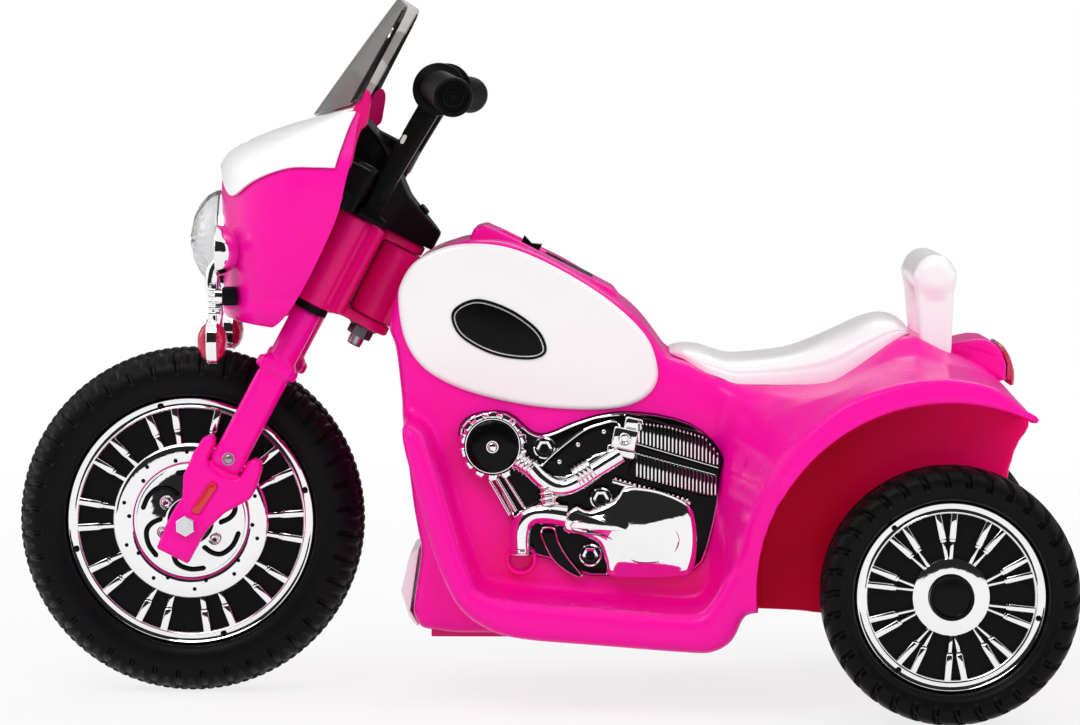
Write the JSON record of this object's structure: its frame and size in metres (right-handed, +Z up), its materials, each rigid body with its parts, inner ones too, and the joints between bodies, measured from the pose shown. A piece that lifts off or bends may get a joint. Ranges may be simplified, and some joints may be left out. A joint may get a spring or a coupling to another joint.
{
  "type": "kids electric ride-on tricycle",
  "caption": "Battery ride-on tricycle styled as a touring motorcycle: steered front wheel, batwing fairing with windscreen, footboards, seat with grab bar, geared motor at a rear wheel.",
  "frame": {"origin": "centre of the object's outline on the floor", "axes": "+X towards the back, +Z up, the vehicle's left side at -Y"},
  "size_m": [0.8, 0.43, 0.5364],
  "materials": {
    "pink_moulding": "glossy",
    "white_moulding": "satin",
    "black_moulding": "matte",
    "tyre_moulding": "matte",
    "black_grip": "matte",
    "plated": "plated, mirror bright",
    "steel": "zinc plated",
    "red_lens": "glossy",
    "clear_lens": "clear",
    "smoked_screen": "smoked"
  },
  "bodies": {
    "body": {"body_shell": "pink_moulding", "floor_pan": "pink_moulding", "battery": "black_moulding", "tank_panel_left": "white_moulding", "tank_panel_right": "white_moulding", "engine_backplate_left": "black_moulding", "engine_backplate_right": "black_moulding", "engine_trim_left": "plated", "engine_trim_right": "plated", "tank_console": "pink_moulding", "console_panel": "black_moulding", "charging_socket": "black_moulding", "seat": "white_moulding", "backrest": "white_moulding", "tail_lamp_housing": "pink_moulding", "tail_lamp_lens": "red_lens", "front_lower_cover": "white_moulding", "pedal_bracket": "black_moulding", "rear_axle": "steel", "motor": "steel", "gearbox_case": "black_moulding", "gearbox_cover": "black_moulding"},
    "steering": {"fork_yoke": "pink_moulding", "kingpin": "steel", "kingpin_nut": "steel", "front_axle": "steel", "fork_leg_left": "pink_moulding", "fork_leg_right": "pink_moulding", "fork_collar_left": "steel", "fork_collar_right": "steel", "lamp_bracket_left": "plated", "lamp_bracket_right": "plated", "turn_lamp_left": "red_lens", "turn_lamp_right": "red_lens", "handlebar": "black_moulding", "grip_left": "black_grip", "grip_right": "black_grip", "dash_pod": "black_moulding", "windscreen": "smoked_screen", "fairing": "pink_moulding", "fairing_cover": "white_moulding", "headlight_ring": "plated", "headlight_lens": "clear_lens"},
    "front_wheel_set": {"front_wheel": "tyre_moulding", "front_trim_left": "plated", "front_trim_right": "plated"},
    "left_wheel_set": {"rear_wheel_left": "tyre_moulding", "rear_trim_left": "plated", "hub_cap_left": "black_moulding"},
    "right_wheel_set": {"rear_wheel_right": "tyre_moulding", "rear_trim_right": "plated", "hub_cap_right": "black_moulding", "output_gear": "white_moulding"},
    "reduction": {"reduction_gear": "white_moulding"},
    "pinion": {"motor_pinion": "white_moulding"},
    "switch": {"rocker_switch": "black_moulding"},
    "pedal": {"accelerator_pedal": "black_moulding"},
    "button_left": {"dash_button_left": "black_moulding"},
    "button_right": {"dash_button_right": "black_moulding"}
  },
  "joints": [
    {"name": "steering_turn", "type": "hinge", "parent": "body", "child": "steering", "pos_m": [-0.13768, 0, 0.27716], "axis": [0.4695, 0, 0.8829], "range_deg": [-30, 30]},
    {"name": "front_wheel_spin", "type": "hinge", "parent": "steering", "child": "front_wheel_set", "pos_m": [-0.267, 0, 0.133], "axis": [0, 1, 0], "continuous": true},
    {"name": "left_wheel_spin", "type": "hinge", "parent": "body", "child": "left_wheel_set", "pos_m": [0.305, -0.185, 0.095], "axis": [0, 1, 0], "continuous": true},
    {"name": "right_wheel_spin", "type": "hinge", "parent": "body", "child": "right_wheel_set", "pos_m": [0.305, 0.185, 0.095], "axis": [0, 1, 0], "continuous": true},
    {"name": "reduction_spin", "type": "hinge", "parent": "body", "child": "reduction", "pos_m": [0.27621, 0.105, 0.09752], "axis": [0, 1, 0], "continuous": true},
    {"name": "pinion_spin", "type": "hinge", "parent": "body", "child": "pinion", "pos_m": [0.2537, 0.095, 0.09949], "axis": [0, 1, 0], "continuous": true},
    {"name": "switch_rock", "type": "hinge", "parent": "body", "child": "switch", "pos_m": [-0.006, 0, 0.344], "axis": [0, 1, 0], "range_deg": [-10, 10]},
    {"name": "pedal_press", "type": "hinge", "parent": "body", "child": "pedal", "pos_m": [-0.008, 0.125, 0.0992], "axis": [0, 1, 0], "range_deg": [0, 12], "stiffness_Nm_per_rad": 0.4, "springref_deg": -5.73},
    {"name": "button_left_press", "type": "slide", "parent": "steering", "child": "button_left", "axis": [-0.7744, 0, -0.6327], "range_m": [0, 0.0015], "stiffness_N_per_m": 300, "springref_m": -0.001},
    {"name": "button_right_press", "type": "slide", "parent": "steering", "child": "button_right", "axis": [-0.7744, 0, -0.6327], "range_m": [0, 0.0015], "stiffness_N_per_m": 300, "springref_m": -0.001}
  ],
  "couplings": [
    {"joint": "reduction_spin", "follows": "right_wheel_spin", "ratio": -2},
    {"joint": "pinion_spin", "follows": "right_wheel_spin", "ratio": 4}
  ]
}
